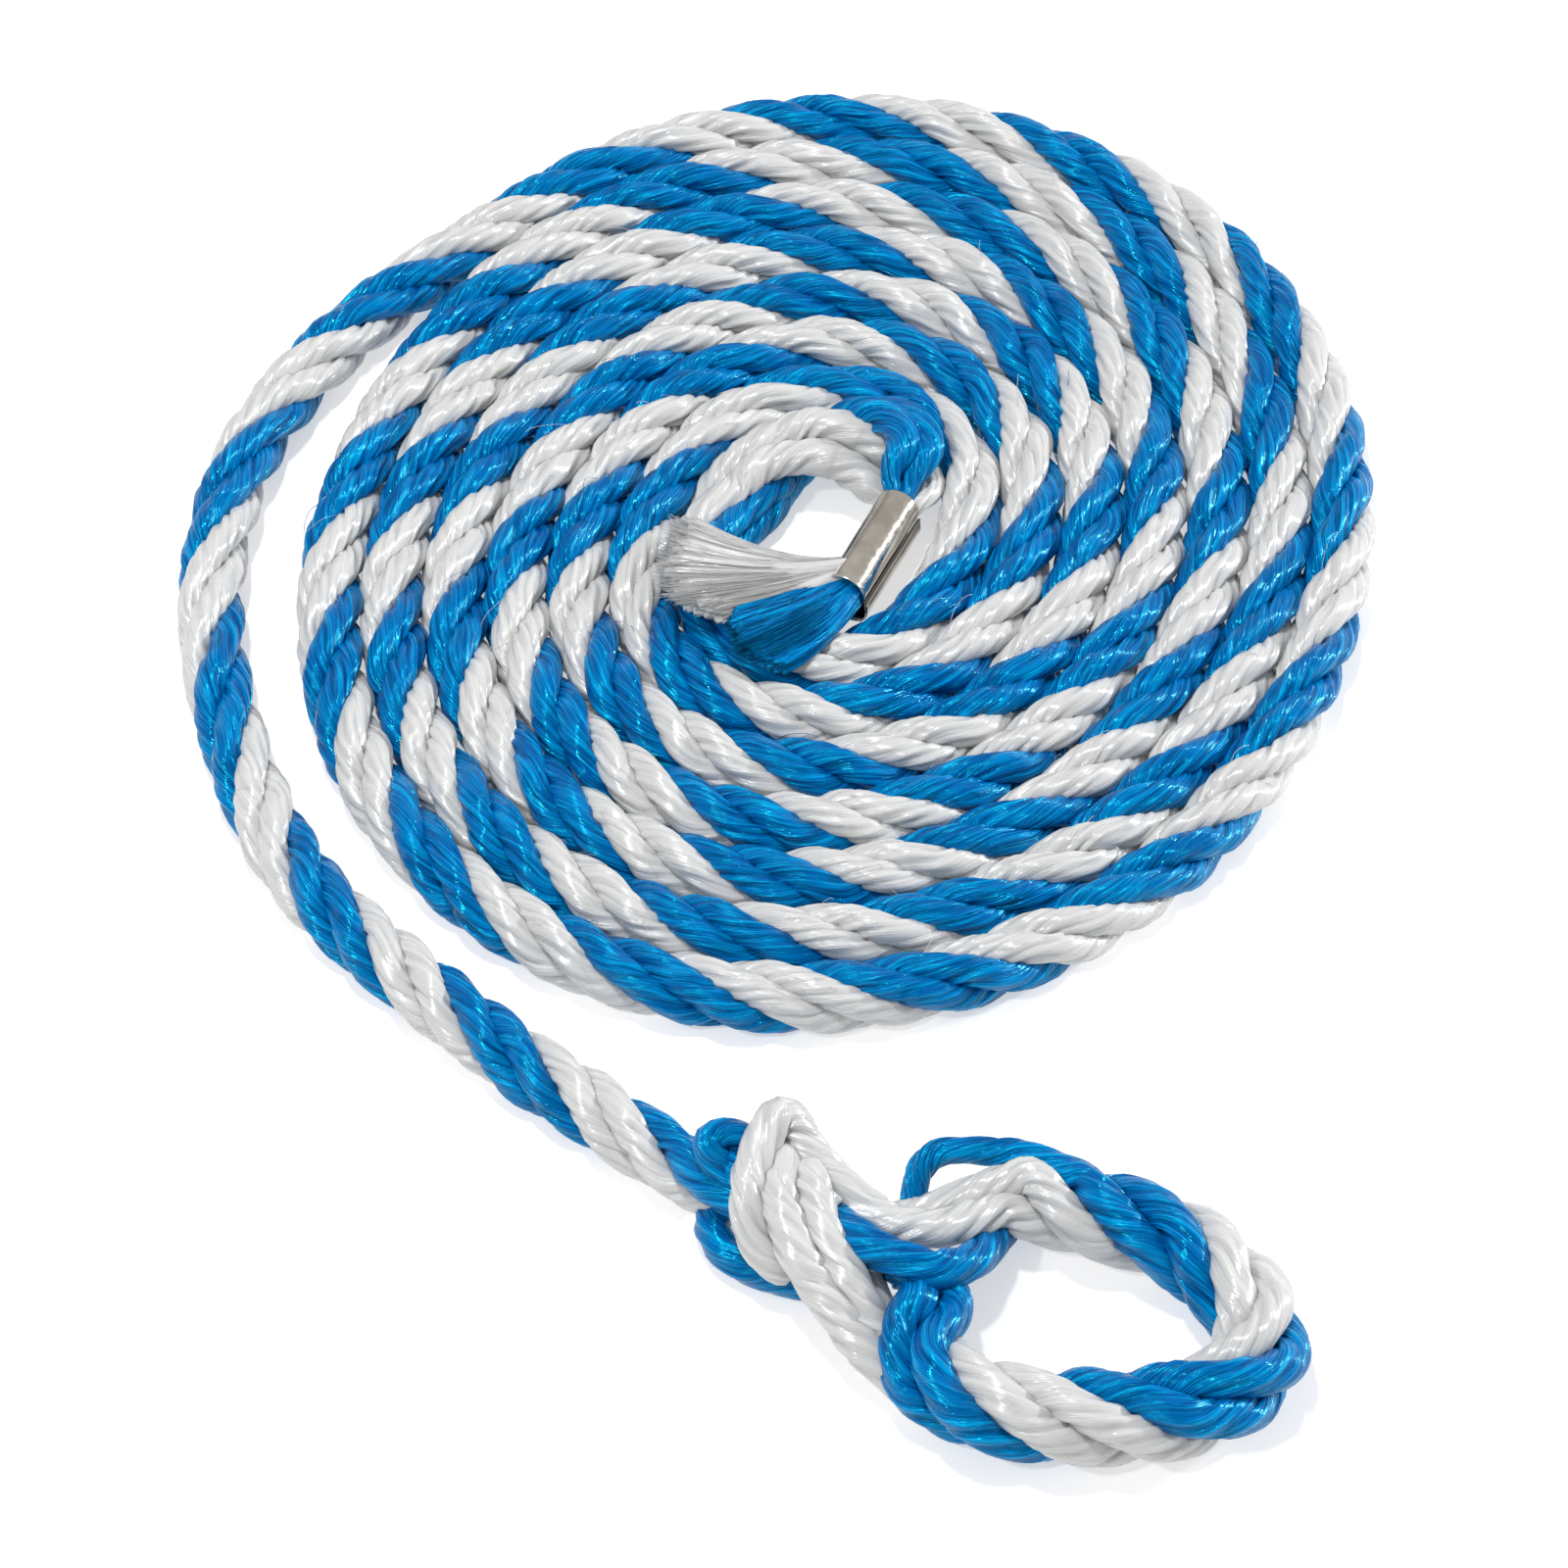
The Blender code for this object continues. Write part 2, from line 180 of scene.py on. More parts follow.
# Each strand of the loop comes out of the splice, joins the lay at one length along the loop,
# leaves it at another and goes back into the splice.
EYE_STRANDS = {
    "blue_a": (
        ((-2, -127, 6), (0, -129, 8), (3.5, -134.5, 11), (7, -137.5, 12), (11, -139.5, 12),
         (15, -140, 11), (19, -138, 9.5), (22, -134, 7), (23.5, -130.5, 5)),
        2.0, 100.0,
        ((9.8, -148.5, 9.6), (12.0, -144.0, 10.2), (11.5, -140.0, 8.0), (9.0, -135.5, 6.0)),
    ),
    "blue_b": (
        ((10, -133, 3.5), (11.2, -129.5, 3.5), (12.0, -125.5, 5), (12.8, -122.0, 7.6), (15.4, -119.8, 9.2),
         (19, -119.6, 9.8), (22.5, -119.8, 10), (27.5, -120.8, 9.8)),
        10.0, 104.0,
        ((17.0, -145.5, 8.2), (16.5, -141.0, 7.0), (13.0, -136.0, 5.5)),
    ),
    "white_a": (
        ((8, -128, 4), (12.5, -127.5, 5), (16, -127, 6.5), (20, -126.2, 8.3), (24, -125.2, 9.8)),
        4.0, 97.0,
        ((16.8, -150.6, 6.2), (13.5, -150.0, 4.4), (9.5, -149.3, 5), (6, -146, 7.5), (3.5, -142.5, 9.5),
         (1.4, -138.5, 11), (-0.5, -135, 12.3), (-1.8, -130.5, 12.8), (-2.4, -126, 12.2), (-3.2, -122, 10.5),
         (-4, -120, 8)),
    ),
    "white_b": (
        ((-4.5, -137, 5), (-7, -136.5, 6.5), (-9, -135.5, 8.5), (-10.5, -133.5, 10.5), (-11, -130.5, 12.5),
         (-10.8, -127, 14), (-9.7, -123.2, 15.2), (-8.2, -119.6, 16), (-6.6, -117.9, 16), (-5.2, -118.2, 15),
         (-3.8, -119.8, 13.5), (-1.5, -122.8, 12), (2, -125.8, 10.5), (5.5, -128.8, 9), (9, -131, 8.4),
         (14, -131.8, 8.6), (19, -131.1, 9.2)),
        0.5, 93.0,
        ((16.5, -155.0, 3.6), (13, -155.2, 3.2), (9.5, -153.5, 4.2), (5, -150, 6.6), (1.5, -145.5, 8.5),
         (-1.7, -141.5, 10), (-4.3, -138, 12), (-6, -133.5, 13.2), (-6.9, -129, 13.6), (-6.6, -124.8, 13.2),
         (-6, -121.5, 11.5), (-5.5, -120, 9)),
    ),
}
# The tucked ends: name, strand, radius and centre line
SPLICE_CORDS = (
    ("white_under", "white_b", 2.7, (
        (0, -130, 4.5), (3, -133, 5), (5, -138, 6), (6.5, -142, 5.5), (7.5, -145.5, 4.5), (9, -149.5, 3.5),
    )),
    ("white_core", "white_a", 3.0, (
        (-12, -129, 6), (-8, -131.5, 7.5), (-3, -132.5, 8), (2, -134, 7), (7, -138, 6),
    )),
    ("blue_hump", "blue_a", 2.4, (
        (-10, -128.5, 7), (-11.5, -126.5, 9), (-14.5, -124, 11), (-16.5, -122, 13), (-16.5, -120.5, 14),
        (-14.5, -119.5, 14), (-11.5, -119.5, 12.5), (-9, -120, 10), (-7, -121, 8),
    )),
    ("blue_tail", "blue_b", 2.7, (
        (-14.5, -124, 3), (-16.3, -127, 3), (-15.8, -129.5, 3), (-14.5, -132, 2.8), (-10.5, -134.5, 2.6),
        (-6, -136, 2.4), (-1.5, -137.5, 2.2),
    )),
)
CORD_YARN_PITCH = 34.0
CORD_RADIUS_WAVE = (19.0, 0.05)
CORD_TWIST_WAVE = (25.0, 0.05)

# ---------------------------------------------------------------- the kink above the ferrule
# It follows the even lay inside the sleeve at these lengths, up to a little before the sleeve's end
SLEEVE_KNOTS = (0.0, 8.0, 16.0)
SLEEVE_LAST_KNOT = 3.0
SLEEVE_GAP = 1.0
KINK_JOIN = 5.0
# For each strand: the length at which it leaves the even lay, and its way down to the sleeve
KINK = {
    "blue_a": (82.0, ((11.3, 4.6, 9.4), (10.9, 7.0, 10.8), (11.5, 9.6, 12.0), (13.0, 12.6, 12.8),
                      (12.4, 16.0, 12.8), (9.0, 19.6, 12.0), (4.5, 21.6, 9.6), (0.5, 20.8, 5.4),
                      (-4.0, 16.5, 2.8), (-7.3, 11.0, 2.5), (-9.0, 6.2, 3.0), (-11.8, 2.4, 3.0))),
    "blue_b": (76.0, ((13.2, 4.8, 9.2), (14.2, 7.6, 10.0), (16.0, 10.6, 11.0), (16.7, 14.2, 11.4),
                      (14.8, 18.8, 11.2), (10.5, 22.4, 9.6), (5.0, 23.4, 6.6), (0.0, 22.0, 3.8),
                      (-4.0, 18.0, 2.6), (-6.4, 12.8, 3.6), (-8.6, 9.2, 5.0))),
    "white_a": (68.0, ((11.4, 4.4, 7.0), (9.0, 8.0, 6.6), (5.9, 10.8, 7.5), (2.4, 12.5, 8.7),
                       (-1.9, 13.3, 9.2), (-6.5, 12.7, 9.2), (-10.6, 11.1, 8.6))),
    "white_b": (66.0, ((14.6, 3.8, 7.6), (17.2, 7.4, 7.0), (17.0, 11.4, 6.2), (13.0, 14.4, 6.6),
                       (8.4, 16.4, 9.0), (3.5, 18.4, 10.4), (-1.5, 19.0, 10.4), (-6.5, 17.6, 9.8),
                       (-11.0, 15.2, 8.8))),
}

# ---------------------------------------------------------------- the ferrule and the frayed ends
FERRULE_RADIUS = 3.2
FERRULE_WALL = 0.5
FERRULE_INNER_EDGE = math.radians(-60)
FERRULE_OUTER_EDGE = math.radians(362)
FERRULE_LAP_RISE = 2.4
FERRULE_LAP_START = math.radians(215)
FERRULE_LAP_PEAK = math.radians(325)
FERRULE_EDGE_RISE = 0.6
FERRULE_TOP_CUT = 1.3
FERRULE_FOOT_GAIN = 0.6
FERRULE_COLUMNS, FERRULE_RINGS = 110, 20
# Rings close to each rim, and how far in the plain ones start
FERRULE_RIM_RINGS, FERRULE_RIM = (0.0, 0.12, 0.35, 0.8), 1.6
FERRULE_ROUNDING = 0.35
FERRULE_FLARE, FERRULE_FLARE_REACH = 0.16, 1.3
# Its slight dents: their depth, how many go round it, and how they turn along it
FERRULE_DENTS = ((0.02, 2, 0.3), (0.012, 3.1, -0.7))
NICKEL_DULL, NICKEL_BRIGHT = (0.56, 0.51, 0.44), (0.74, 0.69, 0.61)
# The painted dark reflection on the sleeve's two sides
NICKEL_PAINTED_REFLECTION = (0.17, 0.15, 0.13)
NICKEL_ROUGHNESS = (0.10, 0.24)
# A tuft's root, the two ends of its waist and the line its ragged ends reach
WHITE_TUFT = {
    "root": ((2.2, -13.4, 10.9), (4.0, -15.4, 10.9)),
    "waist": ((-7.5, -13.8, 12.6), (-7.5, -16.4, 13.8), (-6.5, -19.4, 12.8)),
    "tips": (
        (-22.5, -3.0, 12), (-23.5, -8.5, 12.5), (-24.5, -12.0, 12.8), (-24.5, -15.0, 12.8),
        (-23.0, -19.0, 12.6), (-18.0, -21.0, 12.4), (-14.5, -22.5, 12),
    ),
}
BLUE_TUFT = {
    "root": ((3.0, -15.5, 10.6), (4.8, -17.8, 9.4)),
    "waist": ((-5.5, -20.0, 13.0), (-3.5, -24.0, 13.8), (1.0, -27.0, 11.8)),
    "tips": (
        (-14.5, -23.5, 12.2), (-13.5, -26.0, 12.4), (-13.0, -29.0, 12.4), (-11.5, -30.0, 12.0),
        (-8.0, -31.0, 11.3),
    ),
}

# The direction the locks lie flat against, and the one that depth in a tuft is measured along
TUFT_FACING = np.array((0.0, -0.4, 1.0))
TUFT_LEVEL = np.array((0.0, -0.35, 1.0))
WAIST_DEPTH, TIP_DEPTH = 1.6, 1.3
ROOT_INSIDE = 3.0
ROOT_SCATTER, TIP_SCATTER = 0.35, 0.25
# In each strand's tuft: how many locks, cores and hairs, their rings and sides, and their sizes
TUFT_LOCKS, TUFT_CORES, TUFT_HAIRS = 190, 14, 600
LOCK_RINGS, HAIR_RINGS = 16, 14
LOCK_SIDES, CORE_SIDES, HAIR_SIDES = 8, 12, 4
LOCK_WIDTH, LOCK_THICKNESS = (1.0, 2.0), (0.07, 0.12)
LOCK_DEPTH, LOCK_RAGGED = 1.5, 0.05
LOCK_FIBRE_DEPTH, LOCK_FIBRE_STEP = 0.4, (3.1, 1.7, 5.3)
CORE_WIDTH, CORE_THICKNESS = 2.6, 0.8
CORE_DEPTH, CORE_SHORT = 0.75, 0.07
HAIR_DEPTH, HAIR_REACH = (-1.0, 0.3), (0.02, 0.06)
HAIR_SPILL = 0.02
HAIR_WIDTH, HAIR_FLATNESS = (0.04, 0.09), 0.8

# ---------------------------------------------------------------- the stray hairs
# The lengths of line they stand on, and how many are blue and white
STRAY_SPAN = (90.0, 2380.0)
STRAY_BLUE, STRAY_WHITE = 480, 600
STRAY_RINGS = 9
STRAY_WIDTH = (0.03, 0.055)
STRAY_LEAN = (-1.2, 1.2)
STRAY_SUNK = 0.15
STRAY_FLOOR = 0.1
STRAY_REACH, STRAY_LIFT, STRAY_SWAY = (3, 9), (0.7, 1.8), (-3, 3)
# The share of them that are long, and the others' size beside those
STRAY_LONG, STRAY_SHORT = 0.15, 0.3

# ---------------------------------------------------------------- the light
# The world's strength grows from the horizon upwards: two heights of the direction, two strengths
WORLD_RISE, WORLD_GLOW = (-0.05, 0.45), (0.20, 0.56)
# Each lamp's name, place, size and power in watts
LAMPS = (
    ("key", (0.90, 0.24, 0.30), (0.10, 0.07), 6.5),
    ("top", (-0.15, 0.10, 0.98), (0.07, 0.07), 5.0),
    ("side", (-0.50, -0.35, 0.78), (0.06, 0.06), 3.0),
)


def smooth_curve(points, step=1.0):
    """Points every step or so along a Catmull-Rom curve through the given points."""
    points = np.array(points, float)
    padded = np.vstack([2 * points[0] - points[1], points, 2 * points[-1] - points[-2]])
    pieces = []
    for before, start, end, after in zip(padded, padded[1:], padded[2:], padded[3:]):
        count = max(2, int(np.linalg.norm(end - start) / step))
        u = np.arange(count)[:, None] / count
        square = 2 * before - 5 * start + 4 * end - after
        cube = 3 * start - before - 3 * end + after
        pieces.append(0.5 * (2 * start + (end - before) * u + square * u**2 + cube * u**3))
    return np.vstack(pieces + [points[-1:]])


def coil_point(angle):
    """A point of the spiral; the angle grows clockwise from -X and counts whole turns."""
    turns = (angle - math.pi / 2) / math.tau
    oval = (OVAL - OVAL_FADE * turns) * math.cos(2 * (angle - OVAL_ANGLE))
    lean = LEAN * (1 - turns / LEAN_TURNS) * math.cos(angle - LEAN_ANGLE)
    radius = COIL_RADIUS - TURN_PITCH * turns + oval + lean
    return (-radius * math.cos(angle), radius * math.sin(angle), ROPE_HEIGHT)


def unit(vectors):
    return vectors / np.maximum(np.linalg.norm(vectors, axis=-1, keepdims=True), 1e-9)


def run_lengths(points):
    """The length along a run of points, from 0 at the first."""
    return np.concatenate([[0.0], np.cumsum(np.linalg.norm(np.diff(points, axis=0), axis=1))])


def soften(values, reach):
    """Values averaged over reach samples on each side."""
    padded = np.concatenate([[values[0]] * reach, values, [values[-1]] * reach])
    return np.convolve(padded, np.ones(2 * reach + 1) / (2 * reach + 1), mode="valid")


class Line:
    """The rope's centre line, measured by its length from the inner end."""

    def __init__(self):
        down = unit(FERRULE_FOOT - FERRULE_TOP)
        sleeve = [FERRULE_FOOT + FERRULE_OVERHANG * down, FERRULE_TOP, FERRULE_TOP - FERRULE_LEAD * down]
        coil = [coil_point(angle) for angle in np.arange(END_ANGLE, TAIL_ANGLE, -COIL_STEP)]
        tail = [(x, y, ROPE_HEIGHT) for x, y in TAIL_POINTS]
        control = sleeve + [np.array(p) for p in KINK_POINTS] + coil + tail + list(SPLICE_POINTS)
        self.points = smooth_curve(control) + CENTRE
        self.lengths = run_lengths(self.points)
        self.total = self.lengths[-1]
        self.lay = self.lay_along()
        along = np.gradient(self.points, axis=0)
        self.along = unit(np.stack([soften(along[:, axis], 2) for axis in range(3)], -1))
        self.across = unit(np.cross((0.0, 0.0, 1.0), self.along))
        self.up = np.cross(self.along, self.across)

    def nearest(self, x, y):
        """The length at which the centre line passes closest to a place, relative to the coil."""
        gaps = np.hypot(self.points[:, 0] - CENTRE[0] - x, self.points[:, 1] - CENTRE[1] - y)
        return self.lengths[int(np.argmin(gaps))]

    def lay_along(self):
        """How many turns the strands have made round the rope at each point."""
        flat = self.points - CENTRE
        angles = np.unwrap(np.arctan2(flat[::-1, 1], -flat[::-1, 0]))[::-1]
        top = self.nearest(0.0, coil_point(math.pi / 2)[1])
        turns = (angles - np.interp(top, self.lengths, angles)) / math.tau
        turns = np.clip(turns, 0.0, LAST_EVEN_TURN)
        cosine, sine = LAY_SWING
        lost = np.polyval(LAY_LOST, turns)
        lost += cosine * (np.cos(math.tau * turns) - 1) + sine * np.sin(math.tau * turns)
        gained = LAY_GAINED * np.clip(1 - self.lengths / LAY_GAINED_LENGTH, 0.0, 1.0)
        past, waver = np.transpose(TAIL_WAVER)
        beyond = self.lengths - top
        return beyond / LAY_LENGTH + LAY_AT_TOP - lost + gained + np.interp(beyond, past, waver)

    def at(self, lengths, values):
        """Values along the line, read at these lengths."""
        if values.ndim == 1:
            return np.interp(lengths, self.lengths, values)
        return np.stack([np.interp(lengths, self.lengths, values[:, i]) for i in range(3)], -1)


def ramp(values, low, high):
    """0 below low, 1 above high, and a smooth step between."""
    t = np.clip((values - low) / (high - low), 0.0, 1.0)
    return t * t * (3 - 2 * t)


def wander(where, period, size, seed):
    """A smooth random wave over the lengths in where, with that period and size."""
    rng = np.random.default_rng(seed)
    made = np.zeros_like(where)
    for share in (1.0, 0.61, 0.37):
        made += math.sqrt(share) * np.sin(math.tau * where / (period * share) + rng.uniform(0, math.tau))
    return made * size / 1.9


# ---------------------------------------------------------------- meshes
def mesh_object(name, vertices, quads, triangles, material, attributes=None):
    """A smooth mesh object in the scene from arrays of corners, with per-vertex attributes."""
    mesh = bpy.data.meshes.new(name)
    mesh.vertices.add(len(vertices))
    mesh.vertices.foreach_set("co", np.asarray(vertices, np.float32).ravel())
    corners = np.concatenate([np.ravel(quads), np.ravel(triangles)]).astype(np.int32)
    sizes = np.concatenate([np.full(len(quads), 4), np.full(len(triangles), 3)])
    mesh.loops.add(len(corners))
    mesh.loops.foreach_set("vertex_index", corners)
    mesh.polygons.add(len(sizes))
    starts = np.concatenate([[0], np.cumsum(sizes)[:-1]]).astype(np.int32)
    mesh.polygons.foreach_set("loop_start", starts)
    mesh.polygons.foreach_set("use_smooth", np.ones(len(sizes), bool))
    mesh.update(calc_edges=True)
    for key, values in (attributes or {}).items():
        kind = "FLOAT" if values.ndim == 1 else "FLOAT_VECTOR"
        stored = mesh.attributes.new(key, kind, "POINT")
        field = "value" if values.ndim == 1 else "vector"
        stored.data.foreach_set(field, values.astype(np.float32).ravel())
    mesh.materials.append(material)
    made = bpy.data.objects.new(name, mesh)
    bpy.context.scene.collection.objects.link(made)
    return made


def tube_faces(rings, sides):
    """Quads between neighbouring rings, and a fan of triangles over each end's middle point."""
    ring = np.arange(rings - 1)[:, None] * sides
    side = np.arange(sides)[None, :]
    after = (side + 1) % sides
    quads = np.stack([ring + side, ring + after, ring + sides + after, ring + sides + side], -1)
    first, last = rings * sides, rings * sides + 1
    side, after = side[0], after[0]
    end = (rings - 1) * sides
    start_fan = np.stack([after, side, np.full(sides, first)], -1)
    end_fan = np.stack([end + side, end + after, np.full(sides, last)], -1)
    return quads.reshape(-1, 4), np.vstack([start_fan, end_fan])


def carried_frame(path):
    """A direction square to the path at each point, carried along it without twisting."""
    along = unit(np.gradient(path, axis=0))
    start = np.cross(along[0], (0.0, 0.0, 1.0))
    frames = [unit(np.cross(start, along[0]))]
    for direction in along[1:]:
        last = frames[-1]
        frames.append(unit(last - direction * float(last @ direction)))
    return np.array(frames)


def strand_mesh(name, path, outward, radius, turns, where, material, seed):
    """A strand of twisted yarns along a path. outward is the direction its section is turned from,
    turns how far the yarns have turned at each ring, and where the length along the strand."""
    along = unit(np.gradient(path, axis=0))
    side = unit(np.cross(along, outward))
    out = np.cross(side, along)
    count = YARNS * YARN_SIDES
    column = np.arange(count)
    share = (column % YARN_SIDES) / YARN_SIDES
    crest = 0.5 - 0.5 * np.cos(math.tau * share)
    # How deep each yarn's groove is along the strand; this also sets how much painted shade it gets
    deep_and_shade = np.stack([1 + wander(where, *GROOVE_WAVE, seed + 7 * yarn) for yarn in range(YARNS)], -1)
    groove_and_shade = np.repeat(np.clip(deep_and_shade, 0.0, DEEPEST_GROOVE), YARN_SIDES, axis=1)
    fat = np.stack([wander(where, *YARN_WAVE, seed + 100 + 7 * yarn) for yarn in range(YARNS)], -1)
    blend_to = (np.arange(count) / YARN_SIDES - 0.5) % YARNS
    low_yarn = np.floor(blend_to).astype(int)
    part = ramp(blend_to - low_yarn, 0.0, 1.0)
    fat = 1 + fat[:, low_yarn] * (1 - part) + fat[:, (low_yarn + 1) % YARNS] * part
    angle = math.tau * (column / count)[None, :] - math.tau * turns[:, None]
    reach = radius[:, None] * fat * (1 - YARN_GROOVE * groove_and_shade * (1 - crest)[None, :])
    wide = np.cos(angle) * reach
    high = np.sin(angle) * reach
    points = path[:, None] + wide[..., None] * out[:, None] + high[..., None] * side[:, None]
    points[..., 2] = np.maximum(points[..., 2], 0.0)
    fibre = np.stack(
        [
            np.broadcast_to(FIBRE_SPACE * np.cos(math.tau * column / count), angle.shape),
            np.broadcast_to(FIBRE_SPACE * np.sin(math.tau * column / count), angle.shape),
            np.broadcast_to(where[:, None], angle.shape),
        ],
        -1,
    )
    fibre = fibre + np.array((0.0, 0.0, FIBRE_STEP * seed))
    run = unit(np.gradient(points, axis=0))
    # The painted shade: strongest deep in each groove between the yarns, none on the crests
    depth = np.broadcast_to((1 - crest)[None, :], angle.shape) * np.clip(groove_and_shade, 0, DARKEST_GROOVE_SHADE)
    ends = np.stack([path[0], path[-1]])
    ends[:, 2] = np.maximum(ends[:, 2], 0.0)
    vertices = np.vstack([points.reshape(-1, 3), ends]) * MM
    quads, triangles = tube_faces(len(path), count)
    attributes = {
        "fibre": np.vstack([fibre.reshape(-1, 3), fibre[0, :1], fibre[-1, :1]]),
        "run": np.vstack([run.reshape(-1, 3), run[0, :1], run[-1, :1]]),
        "groove_and_shade": np.concatenate([depth.ravel(), [0.5, 0.5]]),
    }
    return mesh_object(name, vertices, quads, triangles, material, attributes)


# ---------------------------------------------------------------- materials
def node(tree, kind, **settings):
    made = tree.nodes.new(kind)
    for key, value in settings.items():
        if key in made.inputs:
            made.inputs[key].default_value = value
        else:
            setattr(made, key, value)
    return made


def new_material(name):
    material = bpy.data.materials.new(name)
    material.use_nodes = True
    return material, material.node_tree, material.node_tree.nodes["Principled BSDF"]


def map_range(tree, source, low, high, to_low=0.0, to_high=1.0, blend="LINEAR"):
    """A node's output that turns source, from low to high, into a value from to_low to to_high."""
    made = node(tree, "ShaderNodeMapRange", interpolation_type=blend)
    for key, value in (("From Min", low), ("From Max", high), ("To Min", to_low), ("To Max", to_high)):
        made.inputs[key].default_value = value
    tree.links.new(source, made.inputs["Value"])
    return made.outputs["Result"]


def colour_ramp(tree, source, stops):
    """A node's output that turns source into colours; stops are positions and their colours."""
    made = node(tree, "ShaderNodeValToRGB")
    elements = made.color_ramp.elements
    for element, (position, colour) in zip((elements[0], elements[1]), (stops[0], stops[-1])):
        element.position = position
        element.color = (*colour, 1)
    for position, colour in stops[1:-1]:
        elements.new(position).color = (*colour, 1)
    tree.links.new(source, made.inputs["Fac"])
    return made.outputs["Color"]


def fibre_material(name, deep_and_shade, shade, base, light, roughness, subsurface, glow, tint, relief):
    """Silky filaments: colour, roughness and bump all run along the yarns, and the colour is painted with
    shade deep in the grooves between them.
    """
    material, tree, shader = new_material(name)
    link = tree.links.new
    fibre = node(tree, "ShaderNodeAttribute", attribute_name="fibre")
    run = node(tree, "ShaderNodeAttribute", attribute_name="run")
    groove_and_shade = node(tree, "ShaderNodeAttribute", attribute_name="groove_and_shade")
    fine_space = node(tree, "ShaderNodeMapping")
    fine_space.inputs["Scale"].default_value = (1.0, 1.0, 0.03)
    wide_space = node(tree, "ShaderNodeMapping")
    wide_space.inputs["Scale"].default_value = (1.0, 1.0, 0.07)
    link(fibre.outputs["Vector"], fine_space.inputs["Vector"])
    link(fibre.outputs["Vector"], wide_space.inputs["Vector"])
    fine = node(tree, "ShaderNodeTexNoise", Scale=6.0, Detail=2.0, Roughness=0.6)
    wide = node(tree, "ShaderNodeTexNoise", Scale=1.9, Detail=2.0, Roughness=0.55)
    link(fine_space.outputs["Vector"], fine.inputs["Vector"])
    link(wide_space.outputs["Vector"], wide.inputs["Vector"])

    tone = node(tree, "ShaderNodeMix", data_type="FLOAT")
    tone.inputs["Factor"].default_value = 0.5
    link(fine.outputs["Fac"], tone.inputs["A"])
    link(wide.outputs["Fac"], tone.inputs["B"])
    tones = colour_ramp(tree, tone.outputs["Result"], ((0.36, shade), (0.5, base), (0.64, light)))
    # Painted shade: deep in the grooves between the yarns the colour turns part way to the dark shade colour
    colour = node(tree, "ShaderNodeMix", data_type="RGBA")
    link(map_range(tree, groove_and_shade.outputs["Fac"], 0.5, 1.5, 0.0, 0.45), colour.inputs["Factor"])
    link(tones, colour.inputs["A"])
    colour.inputs["B"].default_value = (*deep_and_shade, 1)
    link(colour.outputs["Result"], shader.inputs["Base Color"])

    link(map_range(tree, wide.outputs["Fac"], 0.3, 0.7, *roughness), shader.inputs["Roughness"])
    bump = node(tree, "ShaderNodeBump", Strength=relief, Distance=0.00022)
    link(fine.outputs["Fac"], bump.inputs["Height"])
    ridge = node(tree, "ShaderNodeBump", Strength=relief, Distance=0.0007)
    link(wide.outputs["Fac"], ridge.inputs["Height"])
    link(bump.outputs["Normal"], ridge.inputs["Normal"])
    link(ridge.outputs["Normal"], shader.inputs["Normal"])
    world = node(tree, "ShaderNodeVectorTransform", vector_type="VECTOR")
    world.convert_from = "OBJECT"
    world.convert_to = "WORLD"
    link(run.outputs["Vector"], world.inputs["Vector"])
    link(world.outputs["Vector"], shader.inputs["Tangent"])
    shader.inputs["Anisotropic"].default_value = 0.75
    shader.inputs["Anisotropic Rotation"].default_value = 0.25
    shader.inputs["Specular IOR Level"].default_value = glow
    shader.inputs["Specular Tint"].default_value = tint
    shader.inputs["Subsurface Weight"].default_value = subsurface
    shader.inputs["Subsurface Radius"].default_value = (1.0, 1.0, 1.0)
    shader.inputs["Subsurface Scale"].default_value = 0.0012
    return material


BLUE = fibre_material(
    "blue_filament",
    # The first colour is the painted shade in the grooves between the yarns
    deep_and_shade=(0.0, 0.018, 0.115),
    shade=(0.0, 0.043, 0.20),
    base=(0.0, 0.118, 0.39),
    light=(0.0, 0.31, 0.66),
    roughness=(0.07, 0.22),
    subsurface=0.0,
    glow=0.8,
    tint=(0.02, 0.85, 1.0, 1),
    relief=0.85,
)
WHITE = fibre_material(
    "white_filament",
    # The first colour is the painted shade in the grooves between the yarns
    deep_and_shade=(0.47, 0.49, 0.52),
    shade=(0.51, 0.52, 0.53),
    base=(0.555, 0.555, 0.55),
    light=(0.60, 0.60, 0.59),
    roughness=(0.16, 0.34),
    subsurface=0.55,
    glow=0.7,
    tint=(1, 1, 1, 1),
    relief=0.38,
)


def strand_material(strand):
    return BLUE if strand.startswith("blue") else WHITE


def strand_slot(strand):
    return "blue_polypropylene" if strand.startswith("blue") else "white_polypropylene"


# ---------------------------------------------------------------- the rope
line = Line()
bend = {name: line.nearest(x, y) for name, (x, y) in BENDS.items()}
bend["ferrule_lift"] = SLEEVE_LENGTH + FERRULE_BEND

STRAND_RINGS = np.arange(0.0, line.total, RING_STEP)


